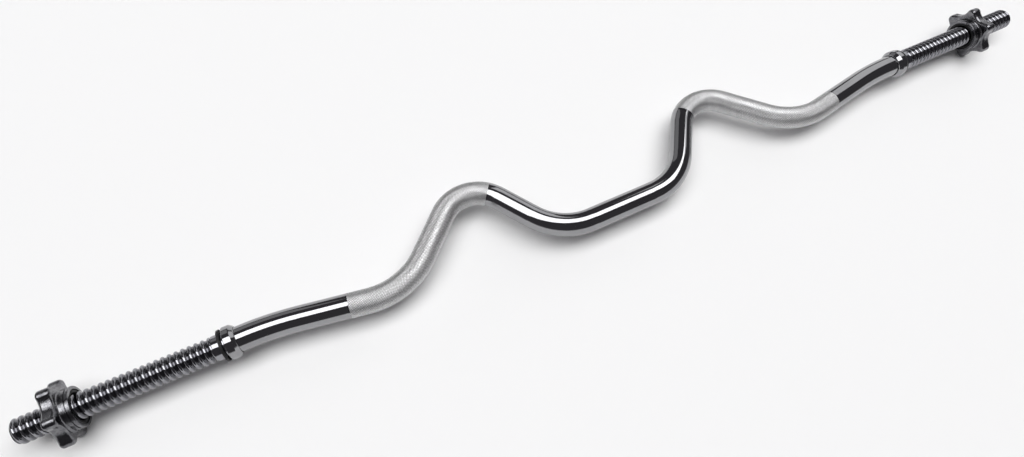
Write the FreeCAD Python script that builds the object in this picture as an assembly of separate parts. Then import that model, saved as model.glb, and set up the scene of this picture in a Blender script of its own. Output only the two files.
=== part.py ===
import FreeCAD, Part
import math
import os

# An EZ curl bar that lies with its bend plane level: X along the sleeves, Y towards the two peaks, Z up.
# The origin is on the floor, below the middle of the bar's outline. All sizes are millimetres and degrees.

# The bent shaft
bar_d = 25.0
overall_length = 1194.0
valley_x = 74.0           # corner where the middle straight turns up to the peak
valley_y = -29.8
peak_x = 143.0
peak_y = 73.2
dip_x = 243.0             # corner where the outer slope turns to the sleeve
dip_y = -22.1
collar_run = 41.0         # from the corner where the shaft meets the sleeve's line to the collar's face
valley_bend_r = 66.0
peak_bend_r = 40.0
dip_bend_r = 77.0
sleeve_bend_r = 320.0
run_share = 0.95          # most of its room on a run that a bend may take

# The threaded sleeves
sleeve_length = 183.0     # from the inner collar's outer face to the end of the bar
thread_d = 24.6
thread_root_d = 20.8
thread_pitch = 6.0
crest_share = 0.30        # share of the pitch on the crest, and then on the root
root_share = 0.30
neck_length = 11.0        # plain length between the collar's face and the first thread
end_chamfer = 1.8
spigot_d = 14.0           # pressed into the shaft's end, under the collar
spigot_length = 36.0
spigot_gap = 0.02
seam_depth = 1.2          # how far inside the collar the sleeve meets the shaft

# The inner collars and the pins that hold them
collar_d = 33.0
collar_band = 6.5
collar_cone = 3.8
collar_cone_rim = 1.2     # wall left at the small end of the cone
collar_edge = 0.6
collar_gap = 0.02
pin_d = 5.0
pin_bore_d = 2.4
pin_slot = 1.0
pin_length = 14.0
pin_sink = 0.4            # how far the pin's end sits below the collar's skin
pin_gap = 0.02

# The rubber washers
washer_d = 31.5
washer_thick = 2.4
washer_gap = 0.35         # between the bore and the neck
washer_stand_left = 2.4   # how far each washer lies from its collar's face
washer_stand_right = 0.3
washer_edge = 0.5

# The star nuts
lobe_count = 6
nut_length = 21.0
flange_thick = 12.0
lobe_reach = 31.0         # from the axis to a lobe's tip
lobe_tip_r = 5.6
lobe_valley_r = 23.6      # from the axis to the bottom of the hollow between two lobes
hub_d = 39.0
hub_groove_depth = 0.8
hub_groove_width = 1.2
hub_lip = 2.6             # from the hub's mouth to the groove
flange_edge = 3.0
hub_edge = 0.8
thread_clearance = 0.5
lead_in = 1.6
nut_end_left = 31.0       # bar showing past each nut's outer face
nut_end_right = 53.0
lobe_turn = 0.0           # turn of the lobes from pointing along the bend plane

# The rubber rings in the nuts' mouths
ring_seat_d = 33.0
ring_depth = 8.0
ring_sink = 0.6           # how far the ring sits inside the hub's mouth
ring_bore_d = 26.0
ring_gap = 0.3
ring_edge = 0.6

bar_r = bar_d / 2
half_length = overall_length / 2
collar_face = half_length - sleeve_length
sleeve_bend_x = collar_face - collar_run
collar_length = collar_band + collar_cone
shaft_end = collar_face - seam_depth
lobe_centre_r = lobe_reach - lobe_tip_r
rest_height = lobe_centre_r * math.cos(math.pi / lobe_count) + lobe_tip_r
x_axis = FreeCAD.Vector(1, 0, 0)
z_axis = FreeCAD.Vector(0, 0, 1)
centre = FreeCAD.Vector(0, 0, 0)


def point(x, y, z=0.0):
    return FreeCAD.Vector(x, y, z)


def rod(radius, start, end):
    return Part.makeCylinder(radius, end - start, point(start, 0), x_axis)


def turned(outline):
    """A solid of revolution about X from (x, radius) corners."""
    corners = [point(x, r) for x, r in outline]
    face = Part.Face(Part.makePolygon(corners + corners[:1]))
    return face.revolve(centre, x_axis, 360)


def bend(before, corner, after, radius):
    """Where an arc of this radius leaves one run, its middle, and where it joins the next run."""
    back = (before - corner).normalize()
    ahead = (after - corner).normalize()
    half_turn = (math.pi - back.getAngle(ahead)) / 2
    reach = radius * math.tan(half_turn)
    middle = (back + ahead).normalize() * (radius / math.cos(half_turn) - radius)
    return corner + back * reach, corner + middle, corner + ahead * reach


def bend_room(corners, index):
    """The length a bend has on the runs beside its corner: half of each, or all of a run with a free end."""
    before = (corners[index] - corners[index - 1]).Length
    after = (corners[index + 1] - corners[index]).Length
    if index > 1:
        before = before / 2
    if index < len(corners) - 2:
        after = after / 2
    return min(before, after) * run_share


def bent_path(corners, radii):
    """Straight runs joined by tangent arcs, one radius for each inner corner, limited by its runs."""
    edges = []
    start = corners[0]
    for index, radius in enumerate(radii, 1):
        before, corner, after = corners[index - 1:index + 2]
        half_turn = (corner - before).getAngle(after - corner) / 2
        radius = min(radius, bend_room(corners, index) / math.tan(half_turn))
        leave, middle, join = bend(before, corner, after, radius)
        edges.append(Part.LineSegment(start, leave).toShape())
        edges.append(Part.Arc(leave, middle, join).toShape())
        start = join
    edges.append(Part.LineSegment(start, corners[-1]).toShape())
    return Part.Wire(edges)


def thread_rod(crest_r, root_r, crest_width, root_width, start, turns):
    """A right-hand threaded rod along X: one turn of a twisting cross-section, repeated turn by turn."""
    crest_half = math.pi * crest_width / thread_pitch
    root_half = math.pi * root_width / thread_pitch
    flank_middle = (crest_half + math.pi - root_half) / 2
    flank_r = (crest_r + root_r) / 2

    def at(radius, angle):
        return point(start, radius * math.cos(angle), radius * math.sin(angle))

    flank_top = at(crest_r, crest_half)
    flank_foot = at(root_r, math.pi - root_half)
    other_foot = at(root_r, math.pi + root_half)
    other_top = at(crest_r, -crest_half)
    section = Part.Wire([
        Part.Arc(other_top, at(crest_r, 0), flank_top).toShape(),
        Part.Arc(flank_top, at(flank_r, flank_middle), flank_foot).toShape(),
        Part.Arc(flank_foot, at(root_r, math.pi), other_foot).toShape(),
        Part.Arc(other_foot, at(flank_r, -flank_middle), other_top).toShape(),
    ])
    spine = Part.Wire([Part.LineSegment(point(start, 0), point(start + thread_pitch, 0)).toShape()])
    guide = Part.makeHelix(thread_pitch, thread_pitch, root_r)
    guide.rotate(centre, point(0, 1), 90)
    guide.translate(point(start, 0))
    sweep = Part.BRepOffsetAPI.MakePipeShell(spine)
    sweep.setAuxiliarySpine(Part.Wire(guide.Edges), True, 0)
    sweep.add(section)
    sweep.build()
    sweep.makeSolid()
    one_turn = sweep.shape().Faces
    caps = sorted(one_turn, key=lambda face: face.BoundBox.XLength)[:2]
    first, last = sorted(caps, key=lambda face: face.BoundBox.XMin)
    sides = [face for face in one_turn if face.BoundBox.XLength > thread_pitch / 2]
    faces = [first, last.translated(point((turns - 1) * thread_pitch, 0))]
    for turn in range(turns):
        faces += [side.translated(point(turn * thread_pitch, 0)) for side in sides]
    shell = Part.makeShell(faces)
    shell.sewShape()
    return Part.Solid(shell)


def pin_place(collar_middle):
    """A pin's outer end and the way it is driven: up into the collar from below."""
    return point(collar_middle, 0, -(collar_d / 2 - pin_sink))


def pin_hole(collar_middle):
    foot = pin_place(collar_middle) - z_axis * (2 * pin_sink)
    return Part.makeCylinder(pin_d / 2 + pin_gap, pin_length + 3 * pin_sink, foot, z_axis)


collar_middle = collar_face - collar_band / 2


def bent_shaft():
    half = [
        point(valley_x, valley_y),
        point(peak_x, peak_y),
        point(dip_x, dip_y),
        point(sleeve_bend_x, 0),
        point(shaft_end, 0),
    ]
    corners = [point(-p.x, p.y) for p in reversed(half)] + half
    half_radii = [valley_bend_r, peak_bend_r, dip_bend_r, sleeve_bend_r]
    path = bent_path(corners, half_radii[::-1] + half_radii)
    ring = Part.Wire([Part.makeCircle(bar_r, corners[0], x_axis)])
    shaft = path.makePipeShell([ring], True, False)
    socket = rod(spigot_d / 2 + spigot_gap, shaft_end - spigot_length, shaft_end)
    for side in (0, 180):
        hole = socket.fuse(pin_hole(collar_middle))
        hole.rotate(centre, z_axis, side)
        shaft = shaft.cut(hole)
    return shaft


def threaded_sleeve():
    crest_r = thread_d / 2
    root_r = thread_root_d / 2
    thread_start = collar_face + neck_length
    turns = math.floor((half_length - end_chamfer - thread_start) / thread_pitch)
    crest_width = crest_share * thread_pitch
    root_width = root_share * thread_pitch
    thread = thread_rod(crest_r, root_r, crest_width, root_width, thread_start, turns)
    end_cone = turned([
        (thread_start, 0),
        (thread_start, bar_r),
        (half_length - end_chamfer - (bar_r - crest_r), bar_r),
        (half_length, crest_r - end_chamfer),
        (half_length, 0),
    ])
    last_start = thread_start + turns * thread_pitch
    last_turn = thread_rod(crest_r, root_r, crest_width, root_width, last_start, 2).common(end_cone)
    stem = turned([
        (shaft_end - spigot_length + end_chamfer, 0),
        (shaft_end - spigot_length + end_chamfer, spigot_d / 2),
        (shaft_end, spigot_d / 2),
        (shaft_end, crest_r),
        (thread_start, crest_r),
        (thread_start, 0),
    ])
    return stem.cut(pin_hole(collar_middle)).multiFuse([thread, last_turn])


def inner_collar():
    bore = bar_r + collar_gap
    inner_end = collar_face - collar_length
    ring = turned([
        (inner_end, bore),
        (inner_end, bore + collar_cone_rim),
        (collar_face - collar_band, collar_d / 2),
        (collar_face - collar_edge, collar_d / 2),
        (collar_face, collar_d / 2 - collar_edge),
        (collar_face, bore),
    ])
    return ring.cut(pin_hole(collar_middle))


def collar_pin():
    """A split spring pin, its slot facing along the bar."""
    foot = pin_place(collar_middle)
    tube = Part.makeCylinder(pin_d / 2, pin_length, foot, z_axis)
    bore = Part.makeCylinder(pin_bore_d / 2, pin_length, foot, z_axis)
    slot = Part.makeBox(pin_d, pin_slot, pin_length, foot - point(0, pin_slot / 2))
    return tube.cut(bore).cut(slot)


def washer(stand):
    bore = thread_d / 2 + washer_gap
    near = collar_face + stand
    far = near + washer_thick
    rim = washer_d / 2
    return turned([
        (near, bore),
        (near, rim - washer_edge),
        (near + washer_edge, rim),
        (far - washer_edge, rim),
        (far, rim - washer_edge),
        (far, bore),
    ])


def star_outline():
    """The lobed outline about X: round tips joined by hollows that meet them smoothly."""
    step = 2 * math.pi / lobe_count
    spread = lobe_centre_r * math.cos(step / 2)
    offset = lobe_centre_r * math.sin(step / 2)
    hollow_r = (offset ** 2 + (spread - lobe_valley_r) ** 2 - lobe_tip_r ** 2)
    hollow_r = hollow_r / (2 * (lobe_tip_r + spread - lobe_valley_r))
    hollow_at = lobe_valley_r + hollow_r

    def at(radius, angle):
        return point(0, radius * math.cos(angle), radius * math.sin(angle))

    edges = []
    for lobe in range(lobe_count):
        angle = math.radians(lobe_turn) + lobe * step
        tip = at(lobe_centre_r, angle)
        hollow_before = at(hollow_at, angle - step / 2)
        hollow_after = at(hollow_at, angle + step / 2)
        next_tip = at(lobe_centre_r, angle + step)
        start = tip + (hollow_before - tip).normalize() * lobe_tip_r
        end = tip + (hollow_after - tip).normalize() * lobe_tip_r
        joined = next_tip + (hollow_after - next_tip).normalize() * lobe_tip_r
        edges.append(Part.Arc(start, at(lobe_reach, angle), end).toShape())
        edges.append(Part.Arc(end, at(lobe_valley_r, angle + step / 2), joined).toShape())
    return Part.Wire(edges)


def star_nut(bar_showing):
    outer = half_length - bar_showing
    mouth = outer - nut_length
    flange_face = outer - flange_thick
    flange = Part.Face(star_outline()).extrude(point(flange_thick, 0))
    flange.translate(point(flange_face, 0))
    rounded = [e for e in flange.Edges if e.BoundBox.XLength < flange_edge]
    flange = flange.makeFillet(flange_edge, rounded)
    hub_r = hub_d / 2
    groove = mouth + hub_lip
    hub = turned([
        (mouth, 0),
        (mouth, hub_r - hub_edge),
        (mouth + hub_edge, hub_r),
        (groove, hub_r),
        (groove + hub_groove_width / 2, hub_r - hub_groove_depth),
        (groove + hub_groove_width, hub_r),
        (outer - flange_thick / 2, hub_r),
        (outer - flange_thick / 2, 0),
    ])
    seat = rod(ring_seat_d / 2, mouth, mouth + ring_sink + ring_depth + ring_gap)
    tap_crest_r = thread_d / 2 + thread_clearance
    tap_root_r = thread_root_d / 2 + thread_clearance
    thread_start = collar_face + neck_length
    turns_in = math.floor((mouth - thread_start) / thread_pitch)
    tap = thread_rod(
        tap_crest_r,
        tap_root_r,
        crest_share * thread_pitch + thread_clearance,
        root_share * thread_pitch - thread_clearance,
        thread_start + turns_in * thread_pitch,
        math.ceil(nut_length / thread_pitch) + 2,
    )
    mouth_flare = turned([
        (outer - 1.5 * lead_in, 0),
        (outer - 1.5 * lead_in, tap_root_r - 0.5 * lead_in),
        (outer, tap_root_r + lead_in),
        (outer, 0),
    ])
    return flange.fuse(hub).cut(seat).cut(tap).cut(mouth_flare).removeSplitter()


def nut_ring(bar_showing):
    near = half_length - bar_showing - nut_length + ring_sink
    far = near + ring_depth
    rim = ring_seat_d / 2 - ring_gap
    return turned([
        (near, ring_bore_d / 2 + ring_edge),
        (near, rim - ring_edge),
        (near + ring_edge, rim),
        (far, rim),
        (far, ring_bore_d / 2),
        (near + ring_edge, ring_bore_d / 2),
    ])


def laid_down(shape, half_turn):
    """Turns a piece to its end of the bar and lifts it so that the nuts' lobes stand on the floor."""
    shape.rotate(centre, z_axis, half_turn)
    shape.translate(point(0, -outline_middle, rest_height))
    return shape


def peak_top():
    """How far the filleted shaft reaches on the peaks' side."""
    before = point(valley_x, valley_y)
    corner = point(peak_x, peak_y)
    after = point(dip_x, dip_y)
    centreline = Part.Arc(*bend(before, corner, after, peak_bend_r)).toShape()
    return centreline.BoundBox.YMax + bar_r


outline_middle = (peak_top() + min(valley_y - bar_r, -lobe_reach)) / 2

pieces = {"bent_shaft": laid_down(bent_shaft(), 0)}
sleeve = threaded_sleeve()
ends = (
    ("right", 0, washer_stand_right, nut_end_right),
    ("left", 180, washer_stand_left, nut_end_left),
)
for end, half_turn, stand, bar_showing in ends:
    pieces[end + "_threaded_sleeve"] = laid_down(sleeve.copy(), half_turn)
    pieces[end + "_inner_collar"] = laid_down(inner_collar(), half_turn)
    pieces[end + "_collar_pin"] = laid_down(collar_pin(), half_turn)
    pieces[end + "_washer"] = laid_down(washer(stand), half_turn)
    pieces[end + "_star_nut"] = laid_down(star_nut(bar_showing), half_turn)
    pieces[end + "_nut_ring"] = laid_down(nut_ring(bar_showing), half_turn)

os.makedirs("parts", exist_ok=True)
for name, shape in pieces.items():
    box = shape.BoundBox
    print(f"{name}: {len(shape.Solids)} solid, valid {shape.isValid()}, {shape.Volume:.1f} mm3,",
          f"x {box.XMin:.2f} to {box.XMax:.2f}")
    shape.exportStep(f"parts/{name}.step")
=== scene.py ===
import math

import bpy
from mathutils import Matrix, Vector


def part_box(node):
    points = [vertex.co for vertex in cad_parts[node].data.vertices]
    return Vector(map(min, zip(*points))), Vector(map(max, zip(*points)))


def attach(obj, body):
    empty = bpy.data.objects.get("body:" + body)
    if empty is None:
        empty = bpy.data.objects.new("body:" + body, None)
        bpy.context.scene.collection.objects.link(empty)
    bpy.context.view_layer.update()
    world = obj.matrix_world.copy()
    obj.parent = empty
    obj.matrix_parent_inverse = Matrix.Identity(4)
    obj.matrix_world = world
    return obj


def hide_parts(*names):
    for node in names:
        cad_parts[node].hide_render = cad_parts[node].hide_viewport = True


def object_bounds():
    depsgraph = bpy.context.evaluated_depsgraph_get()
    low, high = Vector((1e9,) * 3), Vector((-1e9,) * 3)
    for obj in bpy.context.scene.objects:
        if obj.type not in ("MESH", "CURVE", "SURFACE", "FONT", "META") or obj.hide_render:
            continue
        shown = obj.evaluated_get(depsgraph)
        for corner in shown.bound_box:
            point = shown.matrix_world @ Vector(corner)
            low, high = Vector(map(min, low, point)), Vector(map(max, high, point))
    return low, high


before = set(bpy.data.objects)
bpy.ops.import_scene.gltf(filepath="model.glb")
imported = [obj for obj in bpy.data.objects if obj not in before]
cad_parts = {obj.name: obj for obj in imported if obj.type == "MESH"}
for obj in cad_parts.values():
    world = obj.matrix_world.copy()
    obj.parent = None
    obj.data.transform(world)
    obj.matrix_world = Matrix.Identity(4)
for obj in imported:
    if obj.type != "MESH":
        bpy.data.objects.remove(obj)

cadLow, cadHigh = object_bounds()
millimetre = 0.001
washerLow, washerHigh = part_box("right_washer")
axisPlace = (0, (washerLow.y + washerHigh.y) / 2, (washerLow.z + washerHigh.z) / 2)  # the sleeves' axis
ends = ("left", "right")


# Ways of working: pieces are modelled in millimetres about the bar's axis, as at its right end
working = {
    "weld": 0.001,           # points closer together than this become one
    "screwWeld": 0.002,
    "repeatWeld": 0.01,
    "overrun": 0.4,          # how far solids run into or past each other where they are joined or cut
    "edgeSteps": 3,          # segments of a rounded edge
    "edgeAngle": 30,         # degrees from which an edge is rounded
    "creaseAngle": 35,       # degrees from which an edge is shaded sharp
    "normalWeight": 80,
}


def selectNothing():
    if bpy.context.mode != "OBJECT":
        bpy.ops.object.mode_set(mode="OBJECT")
    bpy.ops.object.select_all(action="DESELECT")


def selectOnly(piece):
    selectNothing()
    piece.select_set(True)
    bpy.context.view_layer.objects.active = piece


def startEditing(piece, select):
    selectOnly(piece)
    bpy.ops.object.mode_set(mode="EDIT")
    bpy.ops.mesh.select_mode(type="VERT")
    bpy.ops.mesh.select_all(action=select)


def tidyNormals():
    bpy.ops.mesh.select_all(action="SELECT")
    bpy.ops.mesh.remove_doubles(threshold=working["weld"])
    bpy.ops.mesh.normals_make_consistent(inside=False)
    bpy.ops.object.mode_set(mode="OBJECT")


def startPoint(corner):
    # one loose point, from which an outline is extruded or spun
    selectNothing()
    bpy.ops.mesh.primitive_plane_add(size=1)
    piece = bpy.context.object
    startEditing(piece, "SELECT")
    bpy.ops.mesh.merge(type="CENTER")
    bpy.ops.transform.translate(value=corner)
    return piece


def startRing(x, radius, sides):
    selectNothing()
    bpy.ops.mesh.primitive_circle_add(vertices=sides, radius=radius, rotation=(0, math.pi / 2, 0))
    piece = bpy.context.object
    piece.location.x = x
    bpy.ops.object.transform_apply(location=True, rotation=True, scale=True)
    startEditing(piece, "SELECT")
    return piece


def extrudeRing(before, after):
    bpy.ops.mesh.extrude_region_move(TRANSFORM_OT_translate={"value": (after[0] - before[0], 0, 0)})
    grow = after[1] / before[1]
    bpy.ops.transform.resize(value=(1, grow, grow), center_override=(after[0], 0, 0))


def turned(outline, sides, hollow):
    # a solid of revolution from (x, radius) corners, with a bore if hollow and else with flat ends
    piece = startRing(*outline[0], sides)
    if not hollow:
        bpy.ops.mesh.edge_face_add()
        bpy.ops.mesh.select_all(action="SELECT")
    for before, after in zip(outline, outline[1:]):
        extrudeRing(before, after)
    if hollow:
        extrudeRing(outline[-1], outline[0])
    tidyNormals()
    return piece


def applied(piece, kind, **values):
    selectOnly(piece)
    bpy.ops.object.modifier_add(type=kind)
    modifier = piece.modifiers[-1]
    for name, value in values.items():
        setattr(modifier, name, value)
    bpy.ops.object.modifier_apply(modifier=modifier.name)


def combine(piece, other, operation):
    applied(piece, "BOOLEAN", operation=operation, object=other, solver="EXACT")
    bpy.data.objects.remove(other)


def repeatAlong(piece, count, spacing):
    applied(piece, "ARRAY", count=count, use_relative_offset=False, use_constant_offset=True,
            constant_offset_displace=(spacing, 0, 0), use_merge_vertices=True,
            merge_threshold=working["repeatWeld"])


def roundEdges(piece, width, segments=working["edgeSteps"], angle=working["edgeAngle"]):
    applied(piece, "BEVEL", limit_method="ANGLE", angle_limit=math.radians(angle), width=width,
            segments=segments, use_clamp_overlap=True)


def smooth(piece, angle=working["creaseAngle"], weighted=True):
    selectOnly(piece)
    bpy.ops.object.shade_smooth_by_angle(angle=math.radians(angle))
    if weighted:
        applied(piece, "WEIGHTED_NORMAL", keep_sharp=True, weight=working["normalWeight"])


def settle(piece, end):
    # from millimetres about the axis to its place in the frame, turned about Z for the left end
    selectOnly(piece)
    piece.scale = (millimetre, millimetre, millimetre)
    piece.rotation_euler.z = math.pi if end == "left" else 0
    piece.location = axisPlace
    bpy.ops.object.transform_apply(location=True, rotation=True, scale=True)


def dress(piece, name, body, node, material):
    piece.name = name
    piece.data.name = name
    piece.data.materials.clear()
    piece.data.materials.append(material)
    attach(piece, body)
    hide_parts(node)


def reach(node):
    # how near to and how far from the bar's middle a node goes, in millimetres along X
    low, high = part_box(node)
    return sorted((abs(low.x) / millimetre, abs(high.x) / millimetre))


# Shader node groups
def addSockets(group, inputs, outputs):
    for name, kind, value in inputs:
        socket = group.interface.new_socket(name=name, in_out="INPUT", socket_type=kind)
        if value is not None:
            socket.default_value = value
    for name, kind in outputs:
        group.interface.new_socket(name=name, in_out="OUTPUT", socket_type=kind)


def place(tree, kind, **values):
    node = tree.nodes.new(kind)
    for name, value in values.items():
        setattr(node, name, value)
    return node


def feed(tree, source, socket):
    # links another node's socket, or sets a plain value
    if isinstance(source, bpy.types.NodeSocket):
        tree.links.new(source, socket)
    else:
        socket.default_value = source


def noiseNode(tree, coordinates, scale, detail, roughness=0.6):
    node = place(tree, "ShaderNodeTexNoise")
    node.inputs["Detail"].default_value = detail
    node.inputs["Roughness"].default_value = roughness
    tree.links.new(coordinates, node.inputs["Vector"])
    feed(tree, scale, node.inputs["Scale"])
    return node.outputs["Fac"]


def remap(tree, value, fromLow, fromHigh, toLow, toHigh):
    node = place(tree, "ShaderNodeMapRange", interpolation_type="SMOOTHSTEP")
    tree.links.new(value, node.inputs["Value"])
    feed(tree, fromLow, node.inputs["From Min"])
    feed(tree, fromHigh, node.inputs["From Max"])
    feed(tree, toLow, node.inputs["To Min"])
    feed(tree, toHigh, node.inputs["To Max"])
    return node.outputs["Result"]


def mixColours(tree, factor, first, second):
    node = place(tree, "ShaderNodeMix", data_type="RGBA")
    tree.links.new(factor, node.inputs["Factor"])
    for name, colour in (("A", first), ("B", second)):
        socket = [s for s in node.inputs if s.name == name and s.type == "RGBA"][0]
        feed(tree, colour, socket)
    return [s for s in node.outputs if s.type == "RGBA"][0]


plateWear = {
    "smudgeDetail": 4.0,
    "dullBetween": (0.45, 0.72),       # noise levels between which clean plate turns dull
    "glossBetween": (0.4, 0.75),
    "hairScale": 2600.0,
    "hairDetail": 2.0,
    "hairStretch": (0.06, 1.0, 1.0),   # scratches run along the bar
    "hairBetween": (0.62, 0.78),
}


def buildHandledPlate():
    # plated metal that has been handled: faint smudges in the gloss and hairline scratches
    group = bpy.data.node_groups.new("handledPlate", "ShaderNodeTree")
    addSockets(group, (
        ("Coordinates", "NodeSocketVector", None),
        ("Clean", "NodeSocketColor", (0.6, 0.6, 0.6, 1)),
        ("Dulled", "NodeSocketColor", (0.5, 0.5, 0.5, 1)),
        ("Gloss", "NodeSocketFloat", 0.04),
        ("Smudge", "NodeSocketFloat", 0.1),
        ("Smudge Scale", "NodeSocketFloat", 30.0),
    ), (
        ("Color", "NodeSocketColor"),
        ("Roughness", "NodeSocketFloat"),
        ("Scratches", "NodeSocketFloat"),
    ))
    inside = place(group, "NodeGroupInput")
    outside = place(group, "NodeGroupOutput")
    cloud = noiseNode(group, inside.outputs["Coordinates"], inside.outputs["Smudge Scale"],
                      plateWear["smudgeDetail"])
    patch = remap(group, cloud, *plateWear["dullBetween"], 0.0, 1.0)
    stretch = place(group, "ShaderNodeMapping")
    stretch.inputs["Scale"].default_value = plateWear["hairStretch"]
    group.links.new(inside.outputs["Coordinates"], stretch.inputs["Vector"])
    hair = noiseNode(group, stretch.outputs["Vector"], plateWear["hairScale"], plateWear["hairDetail"])
    colour = mixColours(group, patch, inside.outputs["Clean"], inside.outputs["Dulled"])
    gloss = remap(group, cloud, *plateWear["glossBetween"],
                  inside.outputs["Gloss"], inside.outputs["Smudge"])
    scratches = remap(group, hair, *plateWear["hairBetween"], 0.0, 1.0)
    group.links.new(colour, outside.inputs["Color"])
    group.links.new(gloss, outside.inputs["Roughness"])
    group.links.new(scratches, outside.inputs["Scratches"])
    return group


grain = {
    "fineDetail": 2.0,
    "coarseDetail": 3.0,
    "toneBetween": (0.7, 1.3),         # heights between which the sunken tone turns into the raised one
    "roughBetween": (0.3, 0.7),
}


def buildMouldGrain():
    # the grain of a casting or a rubber moulding: a fine and a coarse bump with a tone that follows it
    group = bpy.data.node_groups.new("mouldGrain", "ShaderNodeTree")
    addSockets(group, (
        ("Coordinates", "NodeSocketVector", None),
        ("Fine", "NodeSocketFloat", 1500.0),
        ("Coarse", "NodeSocketFloat", 300.0),
        ("Raised", "NodeSocketColor", (0.6, 0.6, 0.6, 1)),
        ("Sunken", "NodeSocketColor", (0.3, 0.3, 0.3, 1)),
        ("Least Roughness", "NodeSocketFloat", 0.2),
        ("Most Roughness", "NodeSocketFloat", 0.4),
    ), (
        ("Color", "NodeSocketColor"),
        ("Roughness", "NodeSocketFloat"),
        ("Height", "NodeSocketFloat"),
    ))
    inside = place(group, "NodeGroupInput")
    outside = place(group, "NodeGroupOutput")
    fine = noiseNode(group, inside.outputs["Coordinates"], inside.outputs["Fine"], grain["fineDetail"])
    coarse = noiseNode(group, inside.outputs["Coordinates"], inside.outputs["Coarse"],
                       grain["coarseDetail"])
    height = place(group, "ShaderNodeMath", operation="ADD")
    group.links.new(fine, height.inputs[0])
    group.links.new(coarse, height.inputs[1])
    tone = remap(group, height.outputs[0], *grain["toneBetween"], 0.0, 1.0)
    colour = mixColours(group, tone, inside.outputs["Sunken"], inside.outputs["Raised"])
    roughness = remap(group, coarse, *grain["roughBetween"],
                      inside.outputs["Most Roughness"], inside.outputs["Least Roughness"])
    group.links.new(colour, outside.inputs["Color"])
    group.links.new(roughness, outside.inputs["Roughness"])
    group.links.new(height.outputs[0], outside.inputs["Height"])
    return group


def buildThreadHeight():
    # how far up a thread the surface lies: 0 at the root and 1 at the crest
    group = bpy.data.node_groups.new("threadHeight", "ShaderNodeTree")
    addSockets(group, (
        ("Coordinates", "NodeSocketVector", None),
        ("Axis", "NodeSocketVector", (0, 0, 0)),
        ("Root Radius", "NodeSocketFloat", 0.01),
        ("Crest Radius", "NodeSocketFloat", 0.012),
    ), (("Height", "NodeSocketFloat"),))
    inside = place(group, "NodeGroupInput")
    outside = place(group, "NodeGroupOutput")
    fromAxis = place(group, "ShaderNodeVectorMath", operation="SUBTRACT")
    group.links.new(inside.outputs["Coordinates"], fromAxis.inputs[0])
    group.links.new(inside.outputs["Axis"], fromAxis.inputs[1])
    across = place(group, "ShaderNodeVectorMath", operation="MULTIPLY")
    across.inputs[1].default_value = (0, 1, 1)
    group.links.new(fromAxis.outputs["Vector"], across.inputs[0])
    radius = place(group, "ShaderNodeVectorMath", operation="LENGTH")
    group.links.new(across.outputs["Vector"], radius.inputs[0])
    height = remap(group, radius.outputs["Value"],
                   inside.outputs["Root Radius"], inside.outputs["Crest Radius"], 0.0, 1.0)
    group.links.new(height, outside.inputs["Height"])
    return group


handledPlate = buildHandledPlate()
mouldGrain = buildMouldGrain()
threadHeight = buildThreadHeight()


# polishedChrome and threadChrome are painted darker, shade that dims their reflections of the pale floor,
# and knurlChrome is painted far lighter, a painted highlight for the light its knurl scatters; all three
# are the same chrome plate
finishes = {
    "polishedChrome": {"Clean": (0.32, 0.32, 0.33, 1), "Dulled": (0.29, 0.29, 0.30, 1),
                       "Gloss": 0.05, "Smudge": 0.09, "Smudge Scale": 26.0},
    "knurlChrome": {"Clean": (0.90, 0.90, 0.91, 1), "Dulled": (0.82, 0.82, 0.83, 1),
                    "Gloss": 0.33, "Smudge": 0.41, "Smudge Scale": 60.0},
    "threadChrome": {"Clean": (0.30, 0.30, 0.32, 1), "Dulled": (0.24, 0.24, 0.26, 1),
                     "Gloss": 0.08, "Smudge": 0.16, "Smudge Scale": 90.0},
    "castChrome": {"Fine": 1400.0, "Coarse": 260.0, "Raised": (0.23, 0.23, 0.24, 1),
                   "Sunken": (0.10, 0.10, 0.11, 1), "Least Roughness": 0.08, "Most Roughness": 0.22},
    "blackRubber": {"Fine": 2200.0, "Coarse": 240.0, "Raised": (0.024, 0.024, 0.025, 1),
                    "Sunken": (0.012, 0.012, 0.013, 1), "Least Roughness": 0.45, "Most Roughness": 0.65},
    "springSteel": {"Fine": 1800.0, "Coarse": 400.0, "Raised": (0.40, 0.40, 0.41, 1),
                    "Sunken": (0.24, 0.23, 0.23, 1), "Least Roughness": 0.25, "Most Roughness": 0.45},
}
bumps = {                    # strength, and distance in metres
    "polishedChrome": (0.04, 0.0001),
    "knurlChrome": (0.10, 0.0001),
    "threadChrome": (0.08, 0.0001),
    "castChrome": (0.32, 0.0004),
    "blackRubber": (0.30, 0.0003),
    "springSteel": (0.12, 0.0002),
}
# painted shade colours for the hollows: the knurl's grooves and the thread's roots
hollowShades = {
    "knurlChrome": (0.18, 0.18, 0.18, 1),
    "threadChrome": (0.10, 0.10, 0.11, 1),
}
knurlWear = {
    "speckScale": 950.0,
    "speckDetail": 1.0,
    "speckBetween": (0.38, 0.62),
    "dullest": 0.6,          # how much of its brightness the most worn diamond keeps
}
rubberSpecular = 0.2


def groupMaterial(name, group, heightName, metallic=1.0):
    material = bpy.data.materials.new(name)
    material.use_nodes = True
    tree = material.node_tree
    shader = tree.nodes["Principled BSDF"]
    shader.inputs["Metallic"].default_value = metallic
    coordinates = place(tree, "ShaderNodeTexCoord")
    effect = place(tree, "ShaderNodeGroup", node_tree=group)
    tree.links.new(coordinates.outputs["Object"], effect.inputs["Coordinates"])
    for socket, value in finishes[name].items():
        effect.inputs[socket].default_value = value
    bump = place(tree, "ShaderNodeBump")
    strength, distance = bumps[name]
    bump.inputs["Strength"].default_value = strength
    bump.inputs["Distance"].default_value = distance
    tree.links.new(effect.outputs["Color"], shader.inputs["Base Color"])
    tree.links.new(effect.outputs["Roughness"], shader.inputs["Roughness"])
    tree.links.new(effect.outputs[heightName], bump.inputs["Height"])
    tree.links.new(bump.outputs["Normal"], shader.inputs["Normal"])
    return material


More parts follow.
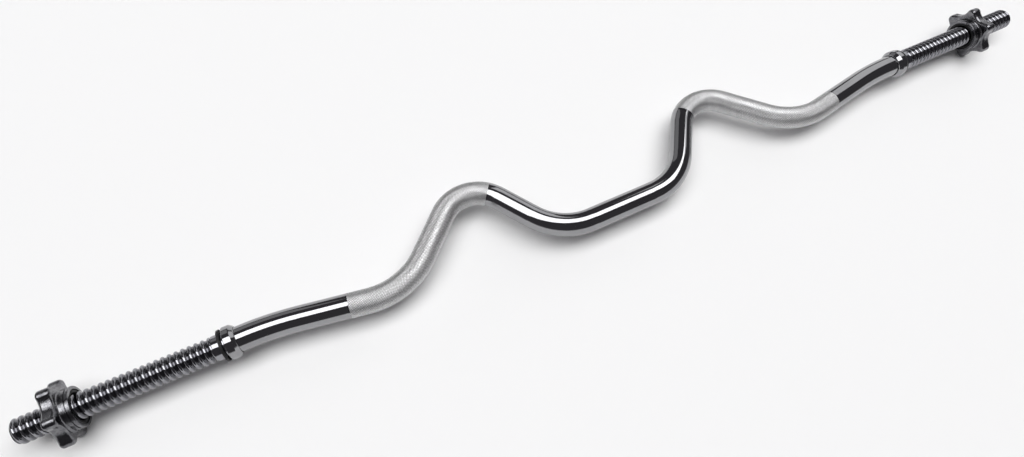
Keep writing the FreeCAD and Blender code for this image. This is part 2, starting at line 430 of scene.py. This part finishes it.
def paintHollowShade(material, mask, shadeColour):
    # painted shade: the base colour is darkened in the hollows, where the mask is 0
    tree = material.node_tree
    shader = tree.nodes["Principled BSDF"]
    plate = shader.inputs["Base Color"].links[0].from_socket
    tree.links.new(mixColours(tree, mask, shadeColour, plate), shader.inputs["Base Color"])


def threadMask(material):
    # 0 at the thread's root, where painted shade goes, and 1 at its crest
    tree = material.node_tree
    height = place(tree, "ShaderNodeGroup", node_tree=threadHeight)
    height.inputs["Axis"].default_value = axisPlace
    height.inputs["Root Radius"].default_value = thread["rootRadius"] * millimetre
    height.inputs["Crest Radius"].default_value = thread["crestRadius"] * millimetre
    tree.links.new(tree.nodes["Texture Coordinate"].outputs["Object"], height.inputs["Coordinates"])
    return height.outputs["Height"]


def knurlMask(material):
    # 1 on the raised diamonds, some of them worn dull, and 0 in the grooves, which take painted shade
    tree = material.node_tree
    raised = place(tree, "ShaderNodeAttribute", attribute_name="raised")
    speck = noiseNode(tree, tree.nodes["Texture Coordinate"].outputs["Object"],
                      knurlWear["speckScale"], knurlWear["speckDetail"])
    worn = remap(tree, speck, *knurlWear["speckBetween"], knurlWear["dullest"], 1.0)
    both = place(tree, "ShaderNodeMath", operation="MULTIPLY")
    tree.links.new(raised.outputs["Fac"], both.inputs[0])
    tree.links.new(worn, both.inputs[1])
    return both.outputs[0]


polishedChrome = groupMaterial("polishedChrome", handledPlate, "Scratches")
knurlChrome = groupMaterial("knurlChrome", handledPlate, "Scratches")
threadChrome = groupMaterial("threadChrome", handledPlate, "Scratches")
# painted shade in the knurl's grooves, between the raised diamonds
paintHollowShade(knurlChrome, knurlMask(knurlChrome), hollowShades["knurlChrome"])
castChrome = groupMaterial("castChrome", mouldGrain, "Height")
blackRubber = groupMaterial("blackRubber", mouldGrain, "Height", metallic=0.0)
rubberShader = blackRubber.node_tree.nodes["Principled BSDF"]
rubberShader.inputs["Specular IOR Level"].default_value = rubberSpecular
springSteel = groupMaterial("springSteel", mouldGrain, "Height")
print("materials ready")


# The bent shaft: smooth stretches and knurled grips, bent along the bar's route
shaft = {
    "radius": 12.5,
    "halfCorners": ((74.0, -29.8), (143.0, 73.2), (243.0, -22.1), (373.0, 0.0), (412.8, 0.0)),
    "bendRadii": (66.0, 40.0, 77.0, 320.0),
    "gripFrom": 125.0,        # the knurl's ends, along X from the middle
    "gripTo": 299.3,
    "sides": 96,
    "ringSpacing": 3.0,
    "endEdge": 0.25,
    "endEdgeSteps": 2,
    "endEdgeAngle": 60,
    "routeStep": 0.8,
}
knurl = {
    "columns": 156,           # a whole number of diamonds
    "rowSpacing": 0.5,
    "diamond": 4,             # columns and rows across one diamond
    "valleyRadius": 12.40,
    "crestRadius": 12.56,
}


def bentRoute(corners, radii, step):
    # points along straight runs joined by tangent arcs
    points = [corners[0]]

    def runTo(end):
        start = points[-1]
        count = max(1, math.ceil((end - start).length / step))
        points.extend(start.lerp(end, (i + 1) / count) for i in range(count))

    for before, corner, after, radius in zip(corners, corners[1:], corners[2:], radii):
        back = (before - corner).normalized()
        ahead = (after - corner).normalized()
        halfTurn = (math.pi - back.angle(ahead)) / 2
        leave = corner + back * radius * math.tan(halfTurn)
        centre = corner + (back + ahead).normalized() * radius / math.cos(halfTurn)
        turn = math.copysign(2 * halfTurn, ahead.cross(back).z)
        runTo(leave)
        count = math.ceil(2 * halfTurn * radius / step)
        for i in range(count):
            points.append(centre + Matrix.Rotation(turn * (i + 1) / count, 3, "Z") @ (leave - centre))
    runTo(corners[-1])
    return points


halfRoute = [Vector((x, y, 0)) for x, y in shaft["halfCorners"]]
mirroredRoute = [Vector((-p.x, p.y, 0)) for p in reversed(halfRoute)]
bendRadii = shaft["bendRadii"][::-1] + shaft["bendRadii"]
routePoints = bentRoute(mirroredRoute + halfRoute, bendRadii, shaft["routeStep"])
routeCurve = bpy.data.curves.new("barRoute", "CURVE")
routeCurve.dimensions = "3D"
routeCurve.twist_mode = "Z_UP"
spline = routeCurve.splines.new("POLY")
spline.points.add(len(routePoints) - 1)
for knot, point in zip(spline.points, routePoints):
    knot.co = (point.x, point.y, 0, 1)
route = bpy.data.objects.new("barRoute", routeCurve)
bpy.context.scene.collection.objects.link(route)


def lengthAt(x):
    # distance along the route to where it passes this x
    total = 0.0
    for before, after in zip(routePoints, routePoints[1:]):
        if after.x >= x:
            share = (x - before.x) / (after.x - before.x)
            return total + share * (after - before).length
        total += (after - before).length
    return total


def capEnds(piece):
    startEditing(piece, "SELECT")
    bpy.ops.mesh.fill_holes(sides=0)
    tidyNormals()


def smoothStretch(name, fromX, toX):
    start = lengthAt(fromX)
    end = lengthAt(toX)
    count = math.ceil((end - start) / shaft["ringSpacing"])
    spacing = (end - start) / count
    piece = startRing(start, shaft["radius"], shaft["sides"])
    extrudeRing((start, 1), (start + spacing, 1))
    bpy.ops.object.mode_set(mode="OBJECT")
    repeatAlong(piece, count, spacing)
    capEnds(piece)
    roundEdges(piece, shaft["endEdge"], shaft["endEdgeSteps"], shaft["endEdgeAngle"])
    applied(piece, "CURVE", object=route, deform_axis="POS_X")
    smooth(piece)
    settle(piece, "right")
    dress(piece, name, "bar", "bent_shaft", polishedChrome)


def knurledGrip(name, fromX, toX):
    # crossing grooves leave flat-topped diamonds; one row of diamonds is modelled and repeated
    start = lengthAt(fromX)
    end = lengthAt(toX)
    diamond = knurl["diamond"]
    repeats = math.ceil((end - start) / knurl["rowSpacing"] / diamond)
    spacing = (end - start) / repeats / diamond
    piece = startRing(start, knurl["valleyRadius"], knurl["columns"])
    for row in range(diamond):
        extrudeRing((start + row * spacing, 1), (start + (row + 1) * spacing, 1))
    bpy.ops.mesh.select_all(action="DESELECT")
    bpy.ops.object.mode_set(mode="OBJECT")
    columnAngle = 2 * math.pi / knurl["columns"]
    mask = piece.data.attributes.new("raised", "FLOAT", "POINT")
    for vertex in piece.data.vertices:
        column = round(math.atan2(vertex.co.z, vertex.co.y) / columnAngle)
        row = round((vertex.co.x - start) / spacing)
        vertex.select = (column + row) % diamond != 0 and (column - row) % diamond != 0
        mask.data[vertex.index].value = 1.0 if vertex.select else 0.0
    bpy.ops.object.mode_set(mode="EDIT")
    raised = knurl["crestRadius"] / knurl["valleyRadius"]
    bpy.ops.transform.resize(value=(1, raised, raised), center_override=(start, 0, 0))
    bpy.ops.object.mode_set(mode="OBJECT")
    repeatAlong(piece, repeats, diamond * spacing)
    capEnds(piece)
    startEditing(piece, "SELECT")
    bpy.ops.mesh.quads_convert_to_tris(quad_method="SHORTEST_DIAGONAL", ngon_method="BEAUTY")
    bpy.ops.object.mode_set(mode="OBJECT")
    applied(piece, "CURVE", object=route, deform_axis="POS_X")
    settle(piece, "right")
    dress(piece, name, "bar", "bent_shaft", knurlChrome)


shaftEnd = shaft["halfCorners"][-1][0]
smoothStretch("middle_stretch", -shaft["gripFrom"], shaft["gripFrom"])
smoothStretch("left_outer_stretch", -shaftEnd, -shaft["gripTo"])
smoothStretch("right_outer_stretch", shaft["gripTo"], shaftEnd)
knurledGrip("left_grip", -shaft["gripTo"], -shaft["gripFrom"])
knurledGrip("right_grip", shaft["gripFrom"], shaft["gripTo"])
bpy.data.objects.remove(route)
print("shaft bent and knurled")


# Threads
thread = {
    "pitch": 6.0,
    "crestRadius": 12.3,
    "rootRadius": 10.4,
    "crestWidth": 1.8,
    "rootWidth": 1.8,
    "cornerRound": 0.85,
    "roundShare": 0.48,      # most of a crest or root that one of its two rounds takes
    "cornerSteps": 5,
    "endMargin": 0.01,       # points within this of the profile's ends stay sharp
    "steps": 64,             # faces in each turn
    "neckLength": 11.0,      # plain length between the collar's face and the first thread
    "seamDepth": 1.2,
    "endChamfer": 1.8,
    "nutClearance": 0.5,
    "leadIn": 1.6,
    "sides": 96,
    "creaseAngle": 40,
}
# painted shade in the thread's roots
paintHollowShade(threadChrome, threadMask(threadChrome), hollowShades["threadChrome"])


def threadRod(crestRadius, rootRadius, crestWidth, rootWidth, start, end, crestAt):
    # a right-hand thread between two flat ends; its crest faces +Y where x is crestAt plus whole pitches
    pitch = thread["pitch"]
    turnsBefore = math.ceil((crestAt - start) / pitch) + 1
    profileMiddle = crestAt - turnsBefore * pitch
    turns = math.ceil((end - profileMiddle) / pitch) + 2
    flank = (pitch - crestWidth - rootWidth) / 2
    outline = (
        (rootWidth / 2, 0),
        (flank, crestRadius - rootRadius),
        (crestWidth, 0),
        (flank, rootRadius - crestRadius),
        (rootWidth / 2, 0),
    )
    profileStart = profileMiddle - pitch / 2
    profileEnd = profileMiddle + pitch / 2
    piece = startPoint((profileStart, rootRadius, 0))
    for along, outward in outline:
        bpy.ops.mesh.extrude_region_move(TRANSFORM_OT_translate={"value": (along, outward, 0)})
    bpy.ops.object.mode_set(mode="OBJECT")
    margin = thread["endMargin"]
    for vertex in piece.data.vertices:
        vertex.select = profileStart + margin < vertex.co.x < profileEnd - margin
    bpy.ops.object.mode_set(mode="EDIT")
    cornerRound = min(thread["cornerRound"], thread["roundShare"] * min(crestWidth, rootWidth))
    bpy.ops.mesh.bevel(affect="VERTICES", offset=cornerRound, segments=thread["cornerSteps"])
    bpy.ops.object.mode_set(mode="OBJECT")
    applied(piece, "SCREW", axis="X", angle=2 * math.pi, screw_offset=pitch, iterations=turns,
            steps=thread["steps"], render_steps=thread["steps"], use_merge_vertices=False)
    startEditing(piece, "SELECT")
    bpy.ops.mesh.remove_doubles(threshold=working["screwWeld"])
    bpy.ops.mesh.normals_make_consistent(inside=False)
    bpy.ops.mesh.select_all(action="SELECT")
    bpy.ops.mesh.bisect(plane_co=(start, 0, 0), plane_no=(1, 0, 0), use_fill=True, clear_inner=True)
    bpy.ops.mesh.select_all(action="SELECT")
    bpy.ops.mesh.bisect(plane_co=(end, 0, 0), plane_no=(1, 0, 0), use_fill=True, clear_outer=True)
    tidyNormals()
    return piece


def threadedSleeve():
    collarFace = reach("right_inner_collar")[1]
    barEnd = reach("right_threaded_sleeve")[1]
    threadStart = collarFace + thread["neckLength"]
    crest = thread["crestRadius"]
    overrun = working["overrun"]
    piece = threadRod(crest, thread["rootRadius"], thread["crestWidth"], thread["rootWidth"],
                      threadStart - overrun, barEnd + overrun, threadStart)
    cone = turned((
        (threadStart - 2 * overrun, crest + overrun),
        (barEnd - thread["endChamfer"] - overrun, crest + overrun),
        (barEnd, crest - thread["endChamfer"]),
    ), thread["sides"], False)
    combine(piece, cone, "INTERSECT")
    neck = turned((
        (collarFace - thread["seamDepth"], crest),
        (threadStart, crest),
    ), thread["sides"], False)
    combine(piece, neck, "UNION")
    smooth(piece, thread["creaseAngle"], weighted=False)
    return piece


sleeve = threadedSleeve()
for end in ends:
    selectOnly(sleeve)
    bpy.ops.object.duplicate(linked=False)
    piece = bpy.context.object
    settle(piece, end)
    dress(piece, end + "_thread", "bar", end + "_threaded_sleeve", threadChrome)
bpy.data.objects.remove(sleeve)
print("sleeves threaded")


# Inner collars, each with the hole that its pin was driven into
collar = {
    "outerRadius": 16.5,
    "boreRadius": 12.52,
    "band": 6.5,
    "coneRim": 1.2,
    "edge": 0.7,
    "pinHoleRadius": 2.52,
    "pinHoleDepth": 14.4,
    "pinHoleSides": 48,
    "sides": 96,
}


def innerCollar():
    near, face = reach("right_inner_collar")
    piece = turned((
        (face, collar["boreRadius"]),
        (near, collar["boreRadius"]),
        (near, collar["boreRadius"] + collar["coneRim"]),
        (face - collar["band"], collar["outerRadius"]),
        (face, collar["outerRadius"]),
    ), collar["sides"], True)
    roundEdges(piece, collar["edge"])
    selectNothing()
    bpy.ops.mesh.primitive_cylinder_add(
        vertices=collar["pinHoleSides"], radius=collar["pinHoleRadius"], depth=collar["pinHoleDepth"],
        location=(face - collar["band"] / 2, 0, -collar["outerRadius"]))
    combine(piece, bpy.context.object, "DIFFERENCE")
    smooth(piece)
    return piece


for end in ends:
    piece = innerCollar()
    settle(piece, end)
    dress(piece, end + "_collar", "bar", end + "_inner_collar", polishedChrome)
    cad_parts[end + "_collar_pin"].material_slots[0].material = springSteel
print("collars turned")


# Rubber washers on the necks beside the collars, and the rings in the nuts' mouths
rubber = {
    "washerRadius": 15.75,
    "washerBore": 12.65,
    "ringRadius": 16.2,
    "ringBore": 13.0,
    "ringHollow": 0.9,        # depth of the lip's rounded mouth
    "edge": 0.45,
    "sides": 96,
}


def washer(end):
    near, far = reach(end + "_washer")
    piece = turned((
        (near, rubber["washerBore"]),
        (near, rubber["washerRadius"]),
        (far, rubber["washerRadius"]),
        (far, rubber["washerBore"]),
    ), rubber["sides"], True)
    roundEdges(piece, rubber["edge"])
    smooth(piece)
    return piece


def nutRing(end):
    near, far = reach(end + "_nut_ring")
    piece = turned((
        (near, rubber["ringBore"] + rubber["ringHollow"]),
        (near, rubber["ringRadius"]),
        (far, rubber["ringRadius"]),
        (far, rubber["ringBore"]),
        (near + rubber["ringHollow"], rubber["ringBore"]),
    ), rubber["sides"], True)
    roundEdges(piece, rubber["edge"])
    smooth(piece)
    return piece


for end in ends:
    piece = washer(end)
    settle(piece, end)
    dress(piece, end + "_rubber_washer", end + "_washer", end + "_washer", blackRubber)
    piece = nutRing(end)
    settle(piece, end)
    dress(piece, end + "_rubber_ring", end + "_nut_ring", end + "_nut_ring", blackRubber)
print("rubber rings made")


# Star nuts: a six-lobed flange on a grooved hub, tapped with the sleeve's thread
nut = {
    "lobes": 6,
    "lobeReach": 31.0,
    "lobeTip": 5.6,
    "valley": 23.6,
    "flangeThick": 12.0,
    "flangeEdge": 3.0,
    "flangeEdgeSteps": 6,
    "flangeEdgeAngle": 60,
    "hubRadius": 19.5,
    "hubEdge": 0.8,
    "hubEdgeMiddle": 0.3,     # share of the rounded edge at which its middle corner stands
    "hubCove": 1.6,           # fillet between the hub and the flange
    "coveAngles": (0, 22.5, 45, 67.5, 85),
    "grooveAt": 2.6,
    "grooveWidth": 1.2,
    "grooveFlank": 0.25,      # share of the groove's width that each slanted side takes
    "grooveDepth": 0.8,
    "seatRadius": 16.5,
    "seatDepth": 8.9,
    "tipSteps": 12,
    "hollowSteps": 12,
    "outlineWeld": 0.01,
    "sides": 96,
    "creaseAngle": 38,
}


def lobedFlange(near, far):
    step = 2 * math.pi / nut["lobes"]
    tipCentre = nut["lobeReach"] - nut["lobeTip"]
    spread = tipCentre * math.cos(step / 2)
    offset = tipCentre * math.sin(step / 2)
    hollow = offset ** 2 + (spread - nut["valley"]) ** 2 - nut["lobeTip"] ** 2
    hollow = hollow / (2 * (nut["lobeTip"] + spread - nut["valley"]))
    hollowCentre = nut["valley"] + hollow
    hollowTurn = 2 * math.atan2(offset, hollowCentre - spread)    # turn of each hollow's arc
    tipTurn = step + hollowTurn

    def at(radius, angle):
        return Vector((near, radius * math.cos(angle), radius * math.sin(angle)))

    piece = startPoint(at(nut["valley"], -step / 2))
    halfSteps = nut["hollowSteps"] // 2
    spinAxis = (-1, 0, 0)         # spin turns left-handed about its axis
    for lobe in range(nut["lobes"]):
        angle = lobe * step
        bpy.ops.mesh.spin(steps=halfSteps, angle=-hollowTurn / 2,
                          center=at(hollowCentre, angle - step / 2), axis=spinAxis)
        bpy.ops.mesh.spin(steps=nut["tipSteps"], angle=tipTurn,
                          center=at(tipCentre, angle), axis=spinAxis)
        bpy.ops.mesh.spin(steps=halfSteps, angle=-hollowTurn / 2,
                          center=at(hollowCentre, angle + step / 2), axis=spinAxis)
    bpy.ops.mesh.select_all(action="SELECT")
    bpy.ops.mesh.remove_doubles(threshold=nut["outlineWeld"])
    bpy.ops.mesh.select_all(action="SELECT")
    bpy.ops.mesh.edge_face_add()
    bpy.ops.mesh.extrude_region_move(TRANSFORM_OT_translate={"value": (far - near, 0, 0)})
    tidyNormals()
    roundEdges(piece, nut["flangeEdge"], nut["flangeEdgeSteps"], nut["flangeEdgeAngle"])
    return piece


def starNut(end):
    mouth, outer = reach(end + "_star_nut")
    flangeFace = outer - nut["flangeThick"]
    piece = lobedFlange(flangeFace, outer)
    hub = nut["hubRadius"]
    edgeMiddle = nut["hubEdge"] * nut["hubEdgeMiddle"]
    groove = mouth + nut["grooveAt"]
    cove = nut["hubCove"]
    coveArc = [(flangeFace - cove + cove * math.sin(a), hub + cove - cove * math.cos(a))
               for a in (math.radians(degrees) for degrees in nut["coveAngles"])]
    barrel = turned([
        (mouth, hub - nut["hubEdge"]),
        (mouth + edgeMiddle, hub - edgeMiddle),
        (mouth + nut["hubEdge"], hub),
        (groove, hub),
        (groove + nut["grooveWidth"] * nut["grooveFlank"], hub - nut["grooveDepth"]),
        (groove + nut["grooveWidth"] * (1 - nut["grooveFlank"]), hub - nut["grooveDepth"]),
        (groove + nut["grooveWidth"], hub),
    ] + coveArc + [(flangeFace + cove, hub + cove)], nut["sides"], False)
    combine(piece, barrel, "UNION")
    overrun = working["overrun"]
    seat = turned((
        (mouth - overrun, nut["seatRadius"]),
        (mouth + nut["seatDepth"], nut["seatRadius"]),
    ), nut["sides"], False)
    combine(piece, seat, "DIFFERENCE")
    threadStart = reach("right_inner_collar")[1] + thread["neckLength"]
    clearance = thread["nutClearance"]
    root = thread["rootRadius"] + clearance
    tap = threadRod(thread["crestRadius"] + clearance, root, thread["crestWidth"] + clearance,
                    thread["rootWidth"] - clearance, mouth, outer + 2 * overrun, threadStart)
    combine(piece, tap, "DIFFERENCE")
    leadIn = thread["leadIn"]
    sunk = leadIn / 2             # the flare starts this far below the thread's root
    flare = turned((
        (outer - leadIn - sunk, root - sunk),
        (outer + overrun, root + leadIn + overrun),
    ), nut["sides"], False)
    combine(piece, flare, "DIFFERENCE")
    smooth(piece, nut["creaseAngle"])
    return piece


for end in ends:
    piece = starNut(end)
    settle(piece, end)
    dress(piece, end + "_spin_nut", end + "_star_nut", end + "_star_nut", castChrome)
print("star nuts cast")


# Studio: a pale floor and horizon, one long softbox high overhead, dim panels far to each side,
# and a dim room
studio = {
    "floorRadius": 8.0,
    "floorSides": 128,
    "floorColour": (0.95, 0.95, 0.95, 1),
    "floorRoughness": 0.9,
    "floorSpecular": 0.1,
    "roomColour": (0.075, 0.072, 0.078, 1),
    "horizonColour": (0.70, 0.70, 0.70, 1),
    "horizonTop": (0.04, 0.12),    # sines of the elevations between which the horizon fades into the room
}
lamps = {
    "softbox": {"place": (0.4, 0.68, 9.6), "aim": (0.4, 0.68, 0.0), "size": (16.4, 6.0), "power": 1160.0},
    "rightPanel": {"place": (14.0, 9.2, 9.4), "aim": (0.2, 0.0, 0.0), "size": (12.0, 12.0), "power": 448.0},
    "leftPanel": {"place": (-5.6, 12.0, 6.0), "aim": (-0.4, 0.0, 0.0), "size": (12.0, 8.0), "power": 91.0},
}


def paleFloor():
    selectNothing()
    bpy.ops.mesh.primitive_circle_add(vertices=studio["floorSides"], radius=studio["floorRadius"],
                                      fill_type="NGON", location=(0, 0, cadLow.z))
    floor = bpy.context.object
    floor.name = "studio_floor"
    material = bpy.data.materials.new("paleFloor")
    material.use_nodes = True
    shader = material.node_tree.nodes["Principled BSDF"]
    shader.inputs["Base Color"].default_value = studio["floorColour"]
    shader.inputs["Roughness"].default_value = studio["floorRoughness"]
    shader.inputs["Specular IOR Level"].default_value = studio["floorSpecular"]
    floor.data.materials.append(material)


def softLamp(name, lamp):
    light = bpy.data.lights.new(name, "AREA")
    light.shape = "RECTANGLE"
    light.size, light.size_y = lamp["size"]
    light.energy = lamp["power"]
    holder = bpy.data.objects.new(name, light)
    holder.location = lamp["place"]
    beam = Vector(lamp["aim"]) - Vector(lamp["place"])
    holder.rotation_euler = beam.to_track_quat("-Z", "Y").to_euler()
    holder.visible_camera = False
    bpy.context.scene.collection.objects.link(holder)


def dimRoom():
    # a dim room above a pale horizon, which the floor runs into
    world = bpy.data.worlds.new("dimRoom")
    world.use_nodes = True
    tree = world.node_tree
    direction = place(tree, "ShaderNodeTexCoord")
    parts = place(tree, "ShaderNodeSeparateXYZ")
    tree.links.new(direction.outputs["Generated"], parts.inputs["Vector"])
    low, high = studio["horizonTop"]
    above = remap(tree, parts.outputs["Z"], low, high, 0.0, 1.0)
    colour = mixColours(tree, above, studio["horizonColour"], studio["roomColour"])
    tree.links.new(colour, tree.nodes["Background"].inputs["Color"])
    bpy.context.scene.world = world


paleFloor()
for name, lamp in lamps.items():
    softLamp(name, lamp)
dimRoom()

# Camera at the photograph's viewing angle
view = {
    "place": (-0.27939, -0.25649, 0.63605),
    "target": (-0.11913, -0.01504, 0.0276),
    "roll": -8.074,
    "lens": 22.774,
    "sensorWidth": 36.0,
    "clipStart": 0.01,
}


def photoCamera():
    camera = bpy.data.cameras.new("photoCamera")
    camera.lens = view["lens"]
    camera.sensor_width = view["sensorWidth"]
    camera.clip_start = view["clipStart"]
    station = Vector(view["place"])
    forward = (Vector(view["target"]) - station).normalized()
    level = forward.cross(Vector((0, 0, 1))).normalized()
    upright = level.cross(forward)
    roll = math.radians(view["roll"])
    up = upright * math.cos(roll) + level * math.sin(roll)
    right = forward.cross(up)
    turn = Matrix((right, up, -forward)).transposed()
    holder = bpy.data.objects.new("photoCamera", camera)
    holder.matrix_world = Matrix.Translation(station) @ turn.to_4x4()
    bpy.context.scene.collection.objects.link(holder)
    bpy.context.scene.camera = holder


photoCamera()
bpy.context.scene.view_settings.view_transform = "Standard"
print("studio and camera set")
